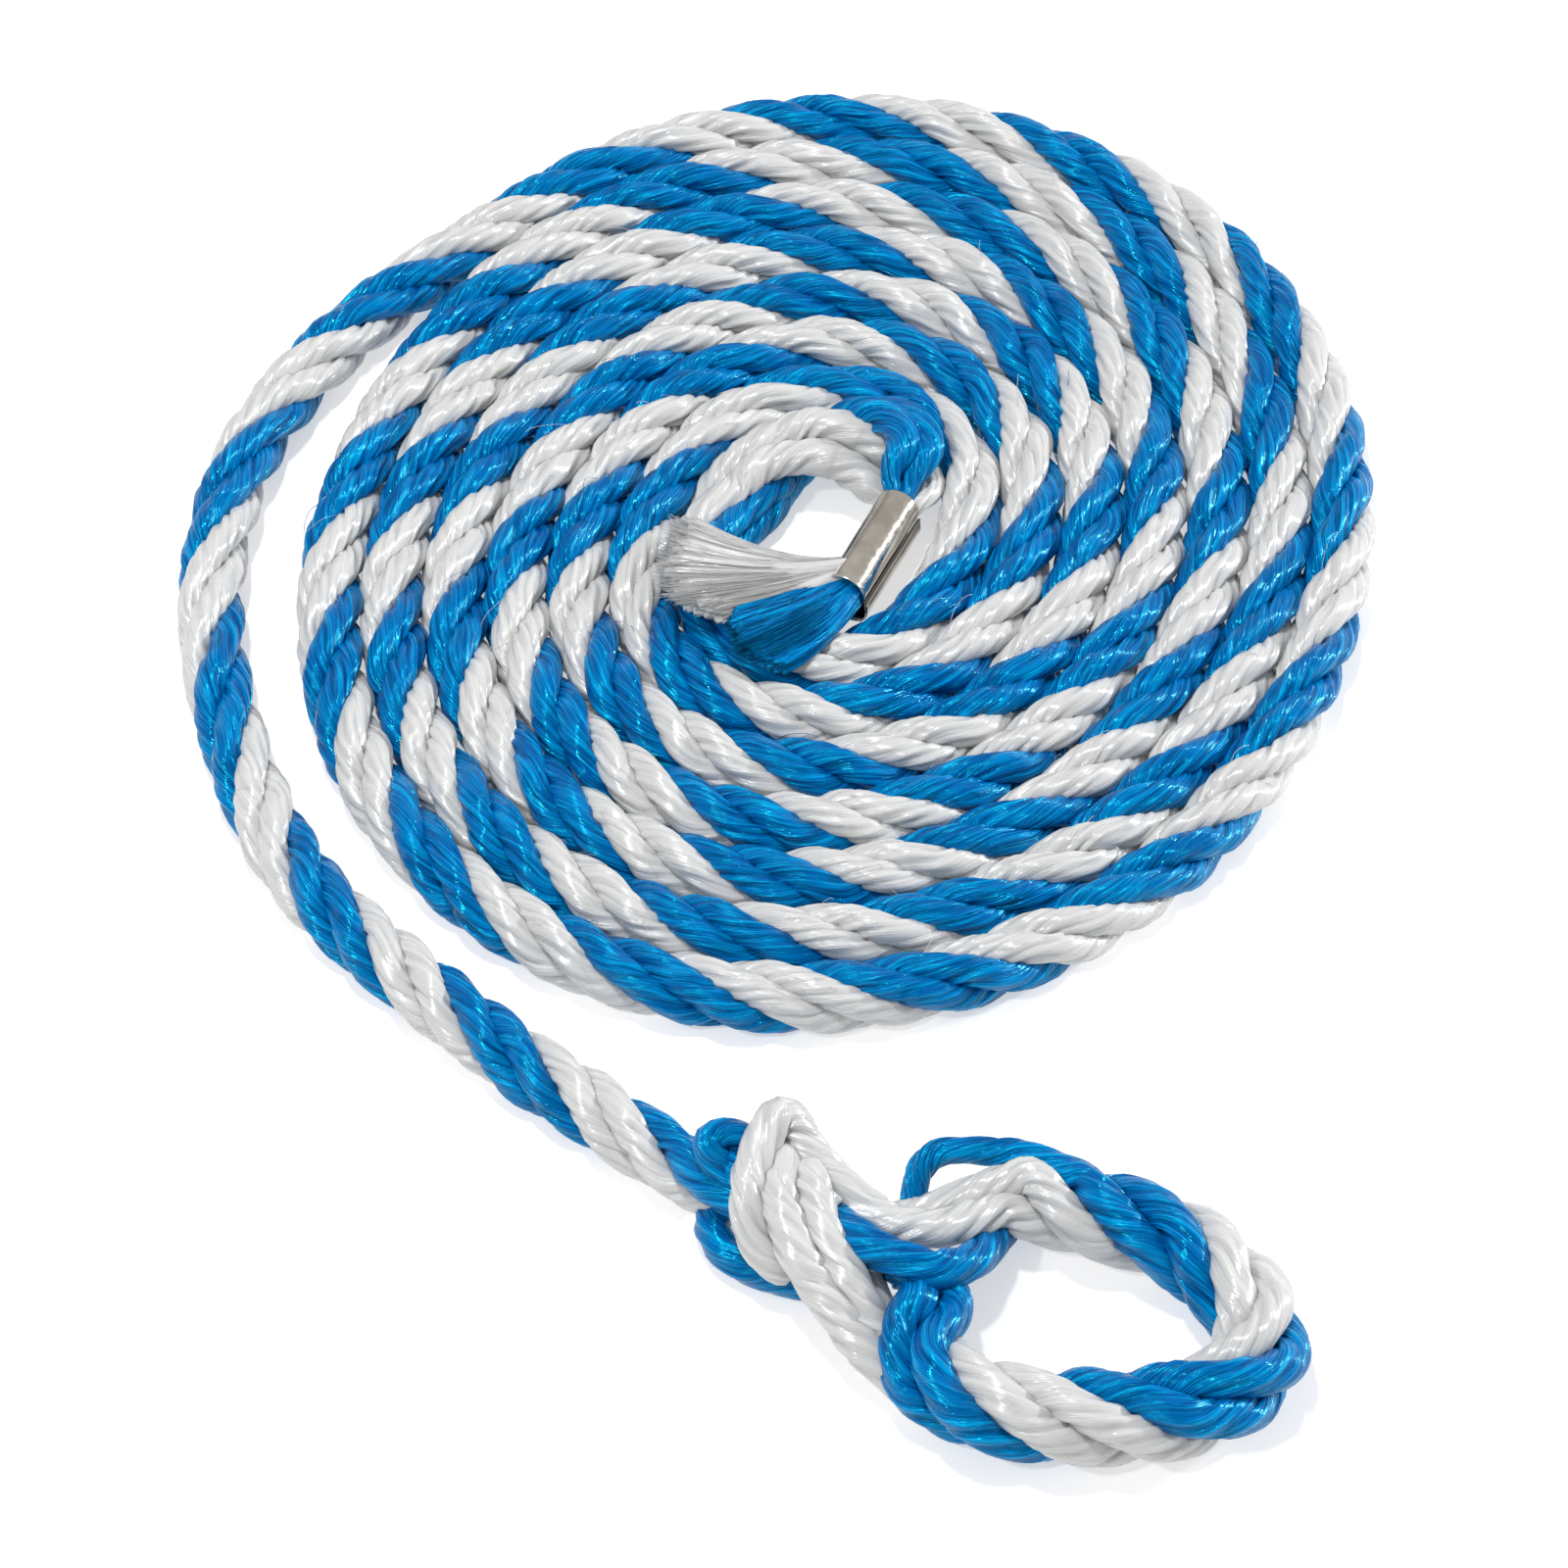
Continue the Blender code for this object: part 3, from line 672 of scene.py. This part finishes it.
def kinked(strand, lengths, path):
    """The path with the strand's own way from the lay through the kink to the ferrule."""
    leave, points = KINK[strand]
    kept = (*SLEEVE_KNOTS, SLEEVE_LENGTH - SLEEVE_LAST_KNOT, leave, leave + KINK_JOIN, leave + 2 * KINK_JOIN)
    lay = {length: path[int(np.searchsorted(lengths, length))] for length in kept}
    free = np.array(points, float) + CENTRE
    run = run_lengths(free)
    spread = SLEEVE_LENGTH + SLEEVE_GAP + run * (leave - KINK_JOIN - SLEEVE_LENGTH) / run[-1]
    knots = [(*point, length) for length, point in lay.items() if length < SLEEVE_LENGTH]
    knots += [(*point, length) for point, length in zip(free, spread)]
    knots += [(*point, length) for length, point in lay.items() if length > SLEEVE_LENGTH]
    curve = smooth_curve(knots, 0.5)
    order = np.maximum.accumulate(curve[:, 3])
    moved = np.stack([np.interp(lengths, order, curve[:, axis]) for axis in range(3)], -1)
    share = (lengths < leave + KINK_JOIN)[:, None]
    return np.where(share, moved, path)


def strand_geometry(number):
    """Path, outward direction, radius and yarn turns of one strand at every ring."""
    lengths = STRAND_RINGS
    seed = 11 + number
    phase = line.at(lengths, line.lay) + number / 4
    angle = math.tau * phase + wander(lengths, *ANGLE_WAVE, seed)
    centre = line.at(lengths, line.points)
    across = line.at(lengths, line.across)
    up = line.at(lengths, line.up)
    outward = np.cos(angle)[:, None] * across + np.sin(angle)[:, None] * up
    squeezed = SQUEEZE + (1 - SQUEEZE) * ramp(lengths, SQUEEZE_FROM, SQUEEZE_TO)
    orbit = (STRAND_ORBIT + wander(lengths, *ORBIT_WAVE, seed + 50)) * squeezed
    path = centre + orbit[:, None] * outward
    path = kinked(STRANDS[number], lengths, path)
    slack = 1 + SLACK * ramp(lengths, *SLACK_FROM) * (1 - ramp(lengths, *SLACK_TO))
    radius = STRAND_RADIUS * (1 + wander(lengths, *RADIUS_WAVE, seed + 60)) * squeezed * slack
    along_strand = run_lengths(path)
    turns = along_strand / YARN_PITCH + wander(along_strand, *TWIST_WAVE, seed + 70)
    return path, carried_frame(path), radius, turns, along_strand


def middle_of(first, second):
    return 0.5 * (bend[first] + bend[second])


LIFT = bend["ferrule_lift"]
TAIL_START = bend["tail_swing"] - TAIL_LEAD
UPPER_END = middle_of("tail_swing", "tail_lift")
LOWER_END = middle_of("tail_lift", "neck_swing")
NECK_END = middle_of("neck_swing", "eye_lift")
# Each length of rope: its name, its two ends, its body, the next body and the joint between them
LENGTHS = (
    ("inner_end", INNER_START, LIFT + INNER_LENGTH, "ferrule_end", "coil", "ferrule_lift"),
    ("coil_inner", LIFT + INNER_LENGTH, COIL_SPLITS[0], "coil", None, None),
    ("coil_middle", COIL_SPLITS[0], COIL_SPLITS[1], "coil", None, None),
    ("coil_outer", COIL_SPLITS[1], TAIL_START, "coil", None, None),
    ("tail_upper", TAIL_START, UPPER_END, "coil", "tail_upper", "tail_swing"),
    ("tail_lower", UPPER_END, LOWER_END, "tail_upper", "tail_lower", "tail_lift"),
    ("neck", LOWER_END, NECK_END, "tail_lower", "neck", "neck_swing"),
    ("throat", NECK_END, line.total, "neck", "eye", "eye_lift"),
)
# The node of the frame that each length stands for
REPLACED = {
    "coil_inner": "coil",
    "tail_upper": "tail_upper",
    "tail_lower": "tail_lower",
    "neck": "neck",
    "throat": "eye",
}


ROPE = [strand_geometry(number) for number in range(len(STRANDS))]


def build_rope():
    """The four strands of every length of rope: a length that crosses a joint between two bodies is left
    free with its transform applied, the others hang on their body.
    """
    for number, strand in enumerate(STRANDS):
        path, outward, radius, turns, where = ROPE[number]
        for name, start, end, body, other, joint in LENGTHS:
            first = int(np.searchsorted(STRAND_RINGS, start))
            last = min(int(np.searchsorted(STRAND_RINGS, end)) + 1, len(STRAND_RINGS))
            cut = slice(max(first - LAP_RINGS, 0), min(last + LAP_RINGS, len(STRAND_RINGS)))
            inside = np.arange(cut.start, cut.stop)
            hidden = np.maximum(first - inside, inside - (last - 1)).clip(0)
            size = radius[cut] * LAP_RADIUS[hidden]
            piece = strand_mesh(
                f"{name}_{strand}_laid", path[cut], outward[cut], size, turns[cut], where[cut],
                strand_material(strand), 3 + number,
            )
            if name in REPLACED:
                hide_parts(f"{REPLACED[name]}_{strand}")
            if joint:
                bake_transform(piece)
            else:
                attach(piece, body)


build_rope()


# ---------------------------------------------------------------- the eye
def rounded_ends(lengths, radius):
    """The radius along a cord whose two ends are rounded off."""
    gap = np.minimum(lengths, lengths[-1] - lengths)
    near = np.clip(gap / radius, 0.0, 1.0)
    return radius * np.sqrt(np.clip(1 - (1 - near) ** 2, 0.02, 1.0))


def cord(name, strand, radius, points, seed):
    """One free strand of the splice, riding on the eye."""
    path = smooth_curve(points, 0.8) + CENTRE
    where = run_lengths(path)
    size = rounded_ends(where, radius) * (1 + wander(where, *CORD_RADIUS_WAVE, seed))
    turns = where / CORD_YARN_PITCH + wander(where, *CORD_TWIST_WAVE, seed + 5)
    outward = carried_frame(path)
    piece = strand_mesh(name, path, outward, size, turns, where, strand_material(strand), seed)
    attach(piece, "eye")
    return piece


def build_eye():
    """The loop's four strands, each in one run from the splice round to it again, and the tucks."""
    flat = smooth_curve(EYE_LOOP, 1.0)
    loop = np.column_stack([flat, np.full(len(flat), EYE_HEIGHT)])
    lengths = run_lengths(loop)
    along = unit(np.gradient(loop, axis=0))
    across = unit(np.cross((0.0, 0.0, 1.0), along))
    up = np.cross(along, across)
    for number, strand in enumerate(STRANDS):
        seed = 211 + number
        before, join, leave, after = EYE_STRANDS[strand]
        angle = math.tau * (lengths / EYE_LAY + EYE_LAY_START + number / 4)
        angle += wander(lengths, *EYE_ANGLE_WAVE, seed)
        outward = np.cos(angle)[:, None] * across + np.sin(angle)[:, None] * up
        laid = loop + EYE_ORBIT * outward
        even = laid[(lengths >= join) & (lengths <= leave)][::3]
        path = smooth_curve(np.vstack([before, even, after]), 0.9) + CENTRE
        where = run_lengths(path)
        radius = rounded_ends(where, EYE_RADIUS) * (1 + wander(where, *EYE_RADIUS_WAVE, seed + 40))
        if strand == SLACK_STRAND:
            radius *= SLACK_SHARE + (1 - SLACK_SHARE) * ramp(where, SLACK_LENGTH * 0.6, SLACK_LENGTH)
        turns = where / YARN_PITCH + wander(where, *TWIST_WAVE, seed + 60)
        piece = strand_mesh(
            f"loop_{strand}_laid", path, carried_frame(path), radius, turns, where,
            strand_material(strand), seed,
        )
        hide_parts(f"eye_{strand}")
        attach(piece, "eye")
    for number, (name, strand, radius, points) in enumerate(SPLICE_CORDS):
        piece = cord(f"splice_{name}", strand, radius, points, 301 + 3 * number)
        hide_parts(f"tuck_{strand}")


build_eye()


# ---------------------------------------------------------------- the ferrule
def ferrule_frame():
    """The middle of the sleeve's foot, its axis down the sleeve, and two directions square to it."""
    down = unit(FERRULE_FOOT - FERRULE_TOP)
    above = np.array((0.0, -math.cos(CAMERA_ELEVATION), math.sin(CAMERA_ELEVATION)))
    above = unit(above - down * float(above @ down))
    right = np.cross(above, down)
    if right[0] < 0:
        right = -right
    return down, above, right


def ferrule_radius(angle):
    """The sheet's distance from the axis: round, then rising into the lap and closing on its edge."""
    rise = FERRULE_LAP_RISE * ramp(angle, FERRULE_LAP_START, FERRULE_LAP_PEAK)
    fall = (FERRULE_LAP_RISE - FERRULE_EDGE_RISE) * ramp(angle, FERRULE_LAP_PEAK, FERRULE_OUTER_EDGE)
    return FERRULE_RADIUS + rise - fall


def ferrule_material():
    """Plated metal: mottled, with a painted dark reflection that makes it darker where the round sleeve
    turns away to its two sides.
    """
    material, tree, shader = new_material("rolled_nickel")
    link = tree.links.new
    place_in = node(tree, "ShaderNodeTexCoord")
    broad = node(tree, "ShaderNodeTexNoise", Scale=160.0, Detail=3.0, Roughness=0.5)
    grain = node(tree, "ShaderNodeTexNoise", Scale=900.0, Detail=3.0, Roughness=0.6)
    link(place_in.outputs["Object"], broad.inputs["Vector"])
    link(place_in.outputs["Object"], grain.inputs["Vector"])
    tones = colour_ramp(tree, broad.outputs["Fac"], ((0.38, NICKEL_DULL), (0.60, NICKEL_BRIGHT)))
    # Painted reflection: the colour turns to the dark one where the sleeve turns away to its two sides
    painted_reflection_mask = node(tree, "ShaderNodeAttribute", attribute_name="painted_reflection_mask")
    edge = map_range(tree, painted_reflection_mask.outputs["Fac"], 0.05, 0.62, blend="SMOOTHSTEP")
    colour = node(tree, "ShaderNodeMix", data_type="RGBA")
    colour.inputs["A"].default_value = (*NICKEL_PAINTED_REFLECTION, 1)
    link(edge, colour.inputs["Factor"])
    link(tones, colour.inputs["B"])
    link(colour.outputs["Result"], shader.inputs["Base Color"])
    link(map_range(tree, grain.outputs["Fac"], 0.35, 0.7, *NICKEL_ROUGHNESS), shader.inputs["Roughness"])
    bump = node(tree, "ShaderNodeBump", Strength=0.25, Distance=0.00004)
    link(grain.outputs["Fac"], bump.inputs["Height"])
    link(bump.outputs["Normal"], shader.inputs["Normal"])
    shader.inputs["Metallic"].default_value = 1.0
    return material


def build_ferrule():
    """The sheet rolled once round and over itself, as one closed wall with rounded rims."""
    down, above, right = ferrule_frame()
    top = FERRULE_TOP + FERRULE_TOP_CUT * down
    length = float(np.linalg.norm(FERRULE_FOOT - top)) + FERRULE_FOOT_GAIN
    angles = np.linspace(FERRULE_INNER_EDGE, FERRULE_OUTER_EDGE, FERRULE_COLUMNS)
    rim = np.array(FERRULE_RIM_RINGS)
    plain = np.linspace(FERRULE_RIM, length - FERRULE_RIM, FERRULE_RINGS)
    stations = np.concatenate([rim, plain, length - rim[::-1]])
    rings = []
    # The painted reflection's mask: low at the sleeve's two sides, where the colour is painted dark, and
    # high on the wall facing the camera and the wall facing away
    painted_reflection_mask = np.abs(np.sin(angles))
    painted_reflection_mask = np.tile(np.concatenate([painted_reflection_mask, painted_reflection_mask[::-1]]), len(stations))
    for station in stations:
        gap = min(station, length - station)
        rounded = max(0.12, 1 - (1 - min(gap / FERRULE_ROUNDING, 1.0)) ** 2)
        wall = FERRULE_WALL / 2 * math.sqrt(rounded)
        flare = FERRULE_FLARE * (1 - min(gap / FERRULE_FLARE_REACH, 1.0)) ** 2
        dent = sum(size * np.sin(waves * angles + twist * station) for size, waves, twist in FERRULE_DENTS)
        middle = ferrule_radius(angles) + flare + dent
        spokes = np.cos(angles)[:, None] * right + np.sin(angles)[:, None] * above
        outer = spokes * (middle + wall)[:, None]
        inner = spokes * (middle - wall)[:, None]
        rings.append(np.vstack([outer, inner[::-1]]) + top + CENTRE + station * down)
    count = 2 * len(angles)
    ring = np.arange(len(stations) - 1)[:, None] * count
    side = np.arange(count)[None, :]
    after = (side + 1) % count
    quads = np.stack([ring + side, ring + after, ring + count + after, ring + count + side], -1)
    quads = quads.reshape(-1, 4)
    first = np.arange(len(angles) - 1)
    lid = np.stack([first, count - 1 - first, count - 2 - first, first + 1], -1)
    foot = lid[:, ::-1] + (len(stations) - 1) * count
    piece = mesh_object(
        "ferrule_rolled", np.vstack(rings) * MM, np.vstack([quads, lid, foot]), np.empty((0, 3), int),
        ferrule_material(), {"painted_reflection_mask": painted_reflection_mask},
    )
    outward_faces(piece)
    piece.data.set_sharp_from_angle(angle=math.radians(50))
    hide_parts("ferrule")
    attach(piece, "ferrule_end")


# ---------------------------------------------------------------- the frayed ends
def bundle(name, paths, wide, thick, flat, sides, material):
    """Many thin closed locks of fibre in one mesh. paths is locks x rings x 3; wide and thick are the
    half width and half thickness at each ring; flat is the direction the locks lie flat against."""
    locks, rings = paths.shape[:2]
    along = unit(np.gradient(paths, axis=1))
    across = unit(np.cross(along, flat))
    lift = np.cross(across, along)
    angle = math.tau * np.arange(sides) / sides
    points = (
        paths[:, :, None]
        + (wide[..., None] * np.cos(angle))[..., None] * across[:, :, None]
        + (thick[..., None] * np.sin(angle))[..., None] * lift[:, :, None]
    )
    ends = np.stack([paths[:, 0], paths[:, -1]], 1)
    vertices = np.concatenate([points.reshape(locks, -1, 3), ends], 1)
    quads, triangles = tube_faces(rings, sides)
    step = (np.arange(locks) * vertices.shape[1])[:, None, None]
    where = np.concatenate(
        [np.zeros((locks, 1)), np.cumsum(np.linalg.norm(np.diff(paths, axis=1), axis=2), axis=1)], 1
    )
    spread = wide[..., None] * np.cos(angle)
    fibre = np.stack(
        [
            spread,
            np.broadcast_to(LOCK_FIBRE_DEPTH * np.sin(angle), spread.shape),
            np.broadcast_to(where[..., None], spread.shape),
        ],
        -1,
    )
    fibre = fibre + np.arange(locks)[:, None, None, None] * np.array(LOCK_FIBRE_STEP)
    fibre_ends = np.stack([fibre[:, 0, 0], fibre[:, -1, 0]], 1)
    fibre = np.concatenate([fibre.reshape(locks, -1, 3), fibre_ends], 1)
    run = np.broadcast_to(along[:, :, None], points.shape)
    run = np.concatenate([run.reshape(locks, -1, 3), along[:, 0:1], along[:, -1:]], 1)
    attributes = {
        "fibre": fibre.reshape(-1, 3),
        "run": run.reshape(-1, 3),
        # The locks get no painted shade of grooves
        "groove_and_shade": np.zeros(locks * vertices.shape[1]),
    }
    quads = (quads[None] + step).reshape(-1, 4)
    triangles = (triangles[None] + step).reshape(-1, 3)
    made = mesh_object(name, vertices.reshape(-1, 3) * MM, quads, triangles, material, attributes)
    outward_faces(made)
    return made


def outward_faces(made):
    """Every face of the mesh turned to point out of its own closed body."""
    shape = bmesh.new()
    shape.from_mesh(made.data)
    bmesh.ops.recalc_face_normals(shape, faces=shape.faces)
    shape.to_mesh(made.data)
    shape.free()


def across_line(points, share):
    """Points spread along a polyline, at these shares of its length."""
    points = np.array(points, float)
    lengths = run_lengths(points)
    return np.stack([np.interp(share * lengths[-1], lengths, points[:, axis]) for axis in range(3)], -1)


def tuft_paths(shape, share, depth, reach, rng, rings):
    """Curved paths from the ferrule's mouth through the waist to the ragged ends."""
    down = ferrule_frame()[0]
    root = across_line(shape["root"], share) - ROOT_INSIDE * down
    waist = across_line(shape["waist"], share)
    tips = across_line(shape["tips"], share)
    tips = tips + (tips - waist) * reach[:, None]
    waist = waist + depth[:, None] * TUFT_LEVEL * WAIST_DEPTH
    tips = tips + depth[:, None] * TUFT_LEVEL * TIP_DEPTH + rng.normal(0, TIP_SCATTER, tips.shape)
    root = root + rng.normal(0, ROOT_SCATTER, root.shape)
    u = np.linspace(0, 1, rings)[None, :, None]
    return (1 - u) ** 2 * root[:, None] + 2 * u * (1 - u) * waist[:, None] + u**2 * tips[:, None] + CENTRE


def build_tuft(strand, shape, low, high, seed):
    """One strand's frayed end, over the part of the tuft's width from low to high: flat locks, a core
    of thick ones that fills it, and single hairs."""
    rng = np.random.default_rng(seed)
    name, material, slot = f"frayed_{strand}", strand_material(strand), strand_slot(strand)
    count = TUFT_LOCKS
    share = low + (high - low) * (np.arange(count) + rng.uniform(-0.5, 0.5, count)) / count
    share = np.clip(share, 0, 1)
    depth = -rng.uniform(0, LOCK_DEPTH, count)
    reach = -np.abs(rng.normal(0, LOCK_RAGGED, count))
    paths = tuft_paths(shape, share, depth, reach, rng, LOCK_RINGS)
    u = np.linspace(0, 1, LOCK_RINGS)[None, :]
    widening = 0.28 + 0.72 * u**0.8
    wide = rng.uniform(*LOCK_WIDTH, count)[:, None] * widening * np.where(u > 0.96, 0.6, 1.0)
    thick = rng.uniform(*LOCK_THICKNESS, count)[:, None] * (1.9 - 1.4 * u)
    locks = bundle(f"{name}_locks", paths, wide, thick, TUFT_FACING, LOCK_SIDES, material)
    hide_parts(name)

    count = TUFT_CORES
    share = low + (high - low) * (np.arange(count) + 0.5) / count
    depth, reach = np.full(count, -CORE_DEPTH), np.full(count, -CORE_SHORT)
    paths = tuft_paths(shape, share, depth, reach, rng, LOCK_RINGS)
    wide = CORE_WIDTH * (0.35 + 0.65 * u) * np.ones((count, 1))
    thick = CORE_THICKNESS * (1.5 - u) * np.ones((count, 1))
    core = bundle(f"{name}_core", paths, wide, thick, TUFT_FACING, CORE_SIDES, material)

    count = TUFT_HAIRS
    share = np.clip(rng.uniform(low - HAIR_SPILL, high + HAIR_SPILL, count), 0, 1)
    depth = rng.uniform(*HAIR_DEPTH, count)
    reach = rng.normal(*HAIR_REACH, count)
    paths = tuft_paths(shape, share, depth, reach, rng, HAIR_RINGS)
    u = np.linspace(0, 1, HAIR_RINGS)[None, :]
    wide = rng.uniform(*HAIR_WIDTH, count)[:, None] * (1.1 - 0.5 * u)
    hairs = bundle(f"{name}_hairs", paths, wide, wide * HAIR_FLATNESS, TUFT_FACING, HAIR_SIDES, material)
    for piece in (locks, core, hairs):
        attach(piece, "ferrule_end")


def stray_hairs(colour, count, seed):
    """Fine broken filaments that lift off the coil's strands of one colour."""
    rng = np.random.default_rng(seed)
    strands = [number for number, strand in enumerate(STRANDS) if strand.startswith(colour)]
    first, last = np.searchsorted(STRAND_RINGS, STRAY_SPAN)
    paths = []
    for _ in range(count):
        path, _, radius, _, _ = ROPE[strands[int(rng.integers(len(strands)))]]
        ring = int(rng.integers(first, last))
        along = unit(path[ring + 1] - path[ring])
        sideways = unit(np.cross(along, (0.0, 0.0, 1.0))) * rng.choice((-1.0, 1.0))
        lean = rng.uniform(*STRAY_LEAN)
        out = unit(math.cos(lean) * np.array((0.0, 0.0, 1.0)) + math.sin(lean) * sideways)
        start = path[ring] + out * (radius[ring] - STRAY_SUNK)
        scale = 1.0 if rng.uniform() < STRAY_LONG else STRAY_SHORT
        reach, lift, sway = [rng.uniform(*size) * scale for size in (STRAY_REACH, STRAY_LIFT, STRAY_SWAY)]
        # Its way at four points: shares of the reach, the lift and the sway
        curl = np.array(((0, 0, 0), (0.35, 0.9, 0.1), (0.75, 1.0, 0.6), (1.0, rng.uniform(0.1, 0.9), 1.0)))
        knots = start + curl[:, :1] * reach * along + curl[:, 1:2] * lift * out
        knots = knots + curl[:, 2:] * sway * sideways
        dense = smooth_curve(knots, 0.1)
        paths.append(dense[np.linspace(0, len(dense) - 1, STRAY_RINGS).round().astype(int)])
    paths = np.array(paths)
    paths[..., 2] = np.maximum(paths[..., 2], STRAY_FLOOR)
    wide = rng.uniform(*STRAY_WIDTH, count)[:, None] * np.ones((1, STRAY_RINGS))
    piece = bundle(f"stray_{colour}", paths, wide, wide, TUFT_FACING, HAIR_SIDES, strand_material(colour))
    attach(piece, "coil")


build_ferrule()
stray_hairs("blue", STRAY_BLUE, 501)
stray_hairs("white", STRAY_WHITE, 502)
build_tuft("white_a", WHITE_TUFT, 0.0, 0.5, 71)
build_tuft("white_b", WHITE_TUFT, 0.5, 1.0, 72)
build_tuft("blue_a", BLUE_TUFT, 0.0, 0.5, 73)
build_tuft("blue_b", BLUE_TUFT, 0.5, 1.0, 74)


# ---------------------------------------------------------------- stage
def build_stage():
    """A plain pale floor that glows a little, so that the shadows on it stay faint."""
    bpy.ops.mesh.primitive_plane_add(size=4.0, location=(0, 0, 0))
    floor = bpy.context.object
    floor.name = "floor"
    material, tree, shader = new_material("pale_floor")
    shader.inputs["Base Color"].default_value = (0.6, 0.6, 0.6, 1)
    shader.inputs["Emission Color"].default_value = (1, 1, 1, 1)
    shader.inputs["Emission Strength"].default_value = 0.5
    shader.inputs["Roughness"].default_value = 0.9
    shader.inputs["Specular IOR Level"].default_value = 0.1
    floor.data.materials.append(material)


def area_light(name, spot, size, power):
    """A white rectangle lamp at a spot, turned to the middle of the scene."""
    light = bpy.data.lights.new(name, "AREA")
    light.shape = "RECTANGLE"
    light.size, light.size_y = size
    light.energy = power
    made = bpy.data.objects.new(name, light)
    made.location = spot
    made.rotation_euler = (-Vector(spot)).to_track_quat("-Z", "Y").to_euler()
    bpy.context.scene.collection.objects.link(made)


def build_view():
    """The camera at the photo's angle, and a world that lights softly but looks plain white."""
    camera = bpy.data.cameras.new("camera")
    camera.lens = CAMERA_LENS
    camera.sensor_width = 36
    camera.clip_start = 0.01
    made = bpy.data.objects.new("camera", camera)
    back = Vector((0, -math.cos(CAMERA_ELEVATION), math.sin(CAMERA_ELEVATION)))
    made.location = CAMERA_AIM + back * CAMERA_DISTANCE
    made.rotation_euler = (math.pi / 2 - CAMERA_ELEVATION, 0, 0)
    bpy.context.scene.collection.objects.link(made)
    bpy.context.scene.camera = made
    world = bpy.data.worlds.new("studio")
    world.use_nodes = True
    tree = world.node_tree
    place_in = node(tree, "ShaderNodeTexCoord")
    split = node(tree, "ShaderNodeSeparateXYZ")
    tree.links.new(place_in.outputs["Generated"], split.inputs["Vector"])
    glow = map_range(tree, split.outputs["Z"], *WORLD_RISE, *WORLD_GLOW)
    seen = node(tree, "ShaderNodeLightPath")
    strength = node(tree, "ShaderNodeMath", operation="MAXIMUM")
    tree.links.new(glow, strength.inputs[0])
    tree.links.new(seen.outputs["Is Camera Ray"], strength.inputs[1])
    tree.links.new(strength.outputs["Value"], tree.nodes["Background"].inputs["Strength"])
    tree.nodes["Background"].inputs["Color"].default_value = (1, 1, 1, 1)
    bpy.context.scene.world = world
    for lamp in LAMPS:
        area_light(*lamp)
    bpy.context.scene.view_settings.view_transform = "Standard"


build_stage()
build_view()
